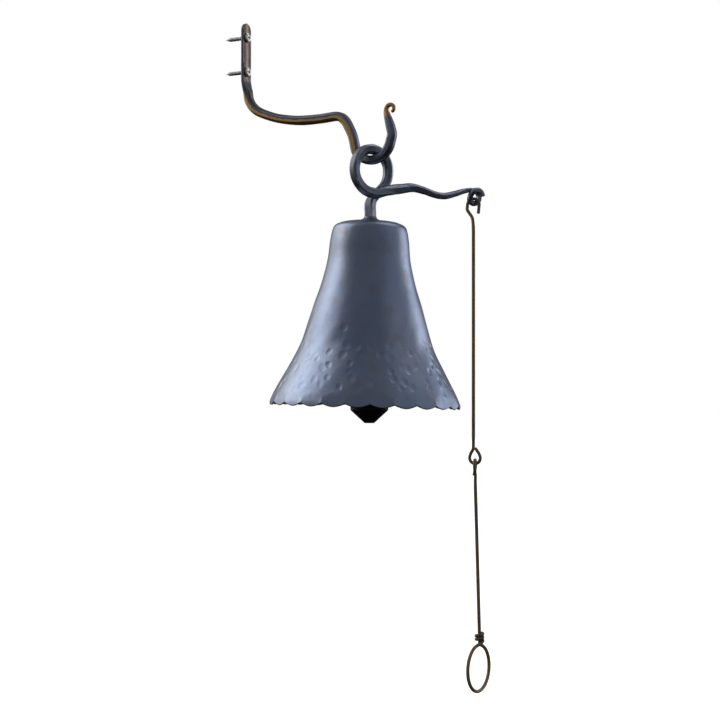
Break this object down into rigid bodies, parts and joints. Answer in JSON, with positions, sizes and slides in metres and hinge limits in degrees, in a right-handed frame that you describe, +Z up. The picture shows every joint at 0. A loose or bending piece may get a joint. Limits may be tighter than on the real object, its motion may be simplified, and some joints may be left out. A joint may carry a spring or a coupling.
{
  "type": "wall bell",
  "caption": "Hand-forged wall bell on a hook bracket, with a scalloped sheet-steel bell, a clapper and a striking lever worked by a hanging wire pull with a finger ring.",
  "frame": {"origin": "on the wall's face, midway between the two wall screws, at the back of the wall plate", "axes": "+X straight out of the wall, +Z up, +Y along the wall, to the right for someone standing at the wall with their back to it"},
  "size_m": [0.2724, 0.2452, 0.6999],
  "materials": {
    "bell_sheet": "satin blackened sheet steel, waxed, blue-grey, hammered near the rim",
    "forged_bar": "satin forge-blackened bar with brown tones, waxed",
    "pull_wire": "brown-black annealed wire, waxed",
    "inner_steel": "dull dark steel",
    "black_steel": "satin black",
    "screw_steel": "nickel-plated steel, slightly worn"
  },
  "bodies": {
    "bracket": {"wall_bracket": "forged_bar", "wall_screws": "screw_steel"},
    "bell": {"hanger_bar": "forged_bar", "crown_collar": "forged_bar", "bell_shell": "bell_sheet", "crown_washer": "inner_steel", "clapper_clevis": "inner_steel", "crown_nut": "inner_steel", "clapper_pin": "inner_steel"},
    "clapper": {"clapper_rod": "inner_steel", "clapper_lock_nut": "inner_steel", "clapper_bob": "black_steel"},
    "upper_pull": {"pull_rod_upper": "pull_wire"},
    "lower_pull": {"pull_rod_lower": "pull_wire"}
  },
  "joints": [
    {"name": "bell_swing", "type": "hinge", "parent": "bracket", "child": "bell", "pos_m": [0.155, 0, -0.12], "axis": [0.9135, -0.4067, 0], "range_deg": [-26, 26]},
    {"name": "clapper_swing", "type": "hinge", "parent": "bell", "child": "clapper", "pos_m": [0.15369, -0.00293, -0.21194], "axis": [0.9135, -0.4067, 0], "range_deg": [-26, 22]},
    {"name": "upper_pull_swing", "type": "hinge", "parent": "bell", "child": "upper_pull", "pos_m": [0.21114, 0.11405, -0.15185], "axis": [0.9135, -0.4067, 0], "range_deg": [-7, 35]},
    {"name": "lower_pull_swing", "type": "hinge", "parent": "upper_pull", "child": "lower_pull", "pos_m": [0.21234, 0.11405, -0.42605], "axis": [0.9135, -0.4067, 0], "range_deg": [-30, 30]}
  ]
}
